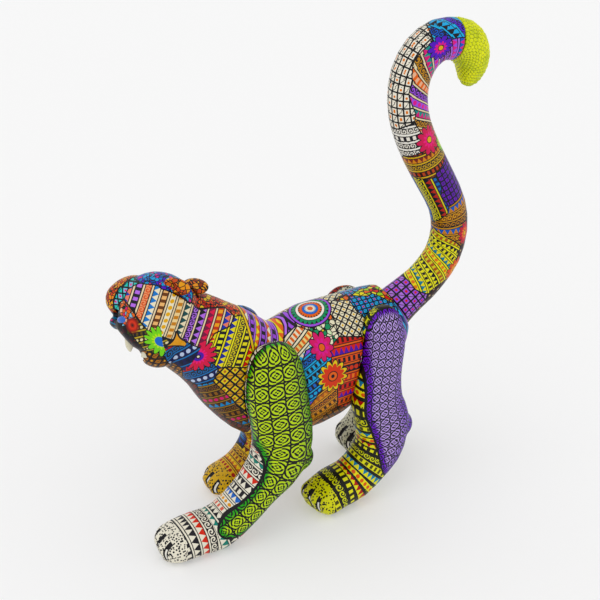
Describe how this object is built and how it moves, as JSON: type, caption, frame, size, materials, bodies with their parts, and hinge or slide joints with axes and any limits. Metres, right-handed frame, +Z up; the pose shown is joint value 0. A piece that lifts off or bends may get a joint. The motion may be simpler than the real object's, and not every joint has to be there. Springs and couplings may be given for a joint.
{
  "type": "carved wildcat figure",
  "caption": "Painted carved wooden wildcat standing on four feet, head turned to its right, mouth open, with plug-in ears and a long curling plug-in tail.",
  "frame": {"origin": "bottom centre of the box around the figure, on the surface it stands on", "axes": "+Z up, -Y the way the animal walks, +X towards the animal's left side"},
  "size_m": [0.101, 0.305, 0.3708],
  "materials": {
    "body_paint": "carved softwood, painted in many colours, glossy lacquer",
    "ear_paint": "orange paint with dark flecks, glossy lacquer",
    "eye_bead": "blue gloss enamel",
    "fang": "off-white gloss paint",
    "tongue_paint": "red gloss paint",
    "front_left_leg_paint": "green and cream paint with black line work, glossy lacquer",
    "front_right_leg_paint": "yellow and orange paint with black line work, glossy lacquer",
    "hind_left_leg_paint": "purple and yellow paint with black line work, glossy lacquer",
    "hind_right_leg_paint": "pale grey and purple paint with black line work, glossy lacquer",
    "bare_wood": "bare turned dowel",
    "tail_paint": "many-coloured bands with black line work, glossy lacquer",
    "tuft_paint": "yellow-green paint over raised dots, glossy lacquer"
  },
  "bodies": {
    "figure": {"body": "body_paint", "left_eye": "eye_bead", "right_eye": "eye_bead", "left_upper_fang": "fang", "right_upper_fang": "fang", "left_lower_fang": "fang", "right_lower_fang": "fang", "tongue": "tongue_paint", "front_left_leg": "front_left_leg_paint", "front_right_leg": "front_right_leg_paint", "hind_left_leg": "hind_left_leg_paint", "hind_right_leg": "hind_right_leg_paint", "front_left_dowel": "bare_wood", "front_right_dowel": "bare_wood", "hind_left_dowel": "bare_wood", "hind_right_dowel": "bare_wood"},
    "tail": {"tail": "tail_paint", "tail_tuft": "tuft_paint"},
    "left_ear": {"left_ear": "ear_paint"},
    "right_ear": {"right_ear": "ear_paint"}
  },
  "joints": [
    {"name": "tail_pull", "type": "slide", "parent": "figure", "child": "tail", "axis": [0, 0.848, 0.5299], "range_m": [0, 0.034]},
    {"name": "left_ear_pull", "type": "slide", "parent": "figure", "child": "left_ear", "axis": [0.0224, -0.0267, 0.9994], "range_m": [0, 0.014]},
    {"name": "right_ear_pull", "type": "slide", "parent": "figure", "child": "right_ear", "axis": [-0.5201, 0.6198, 0.5876], "range_m": [0, 0.014]}
  ]
}
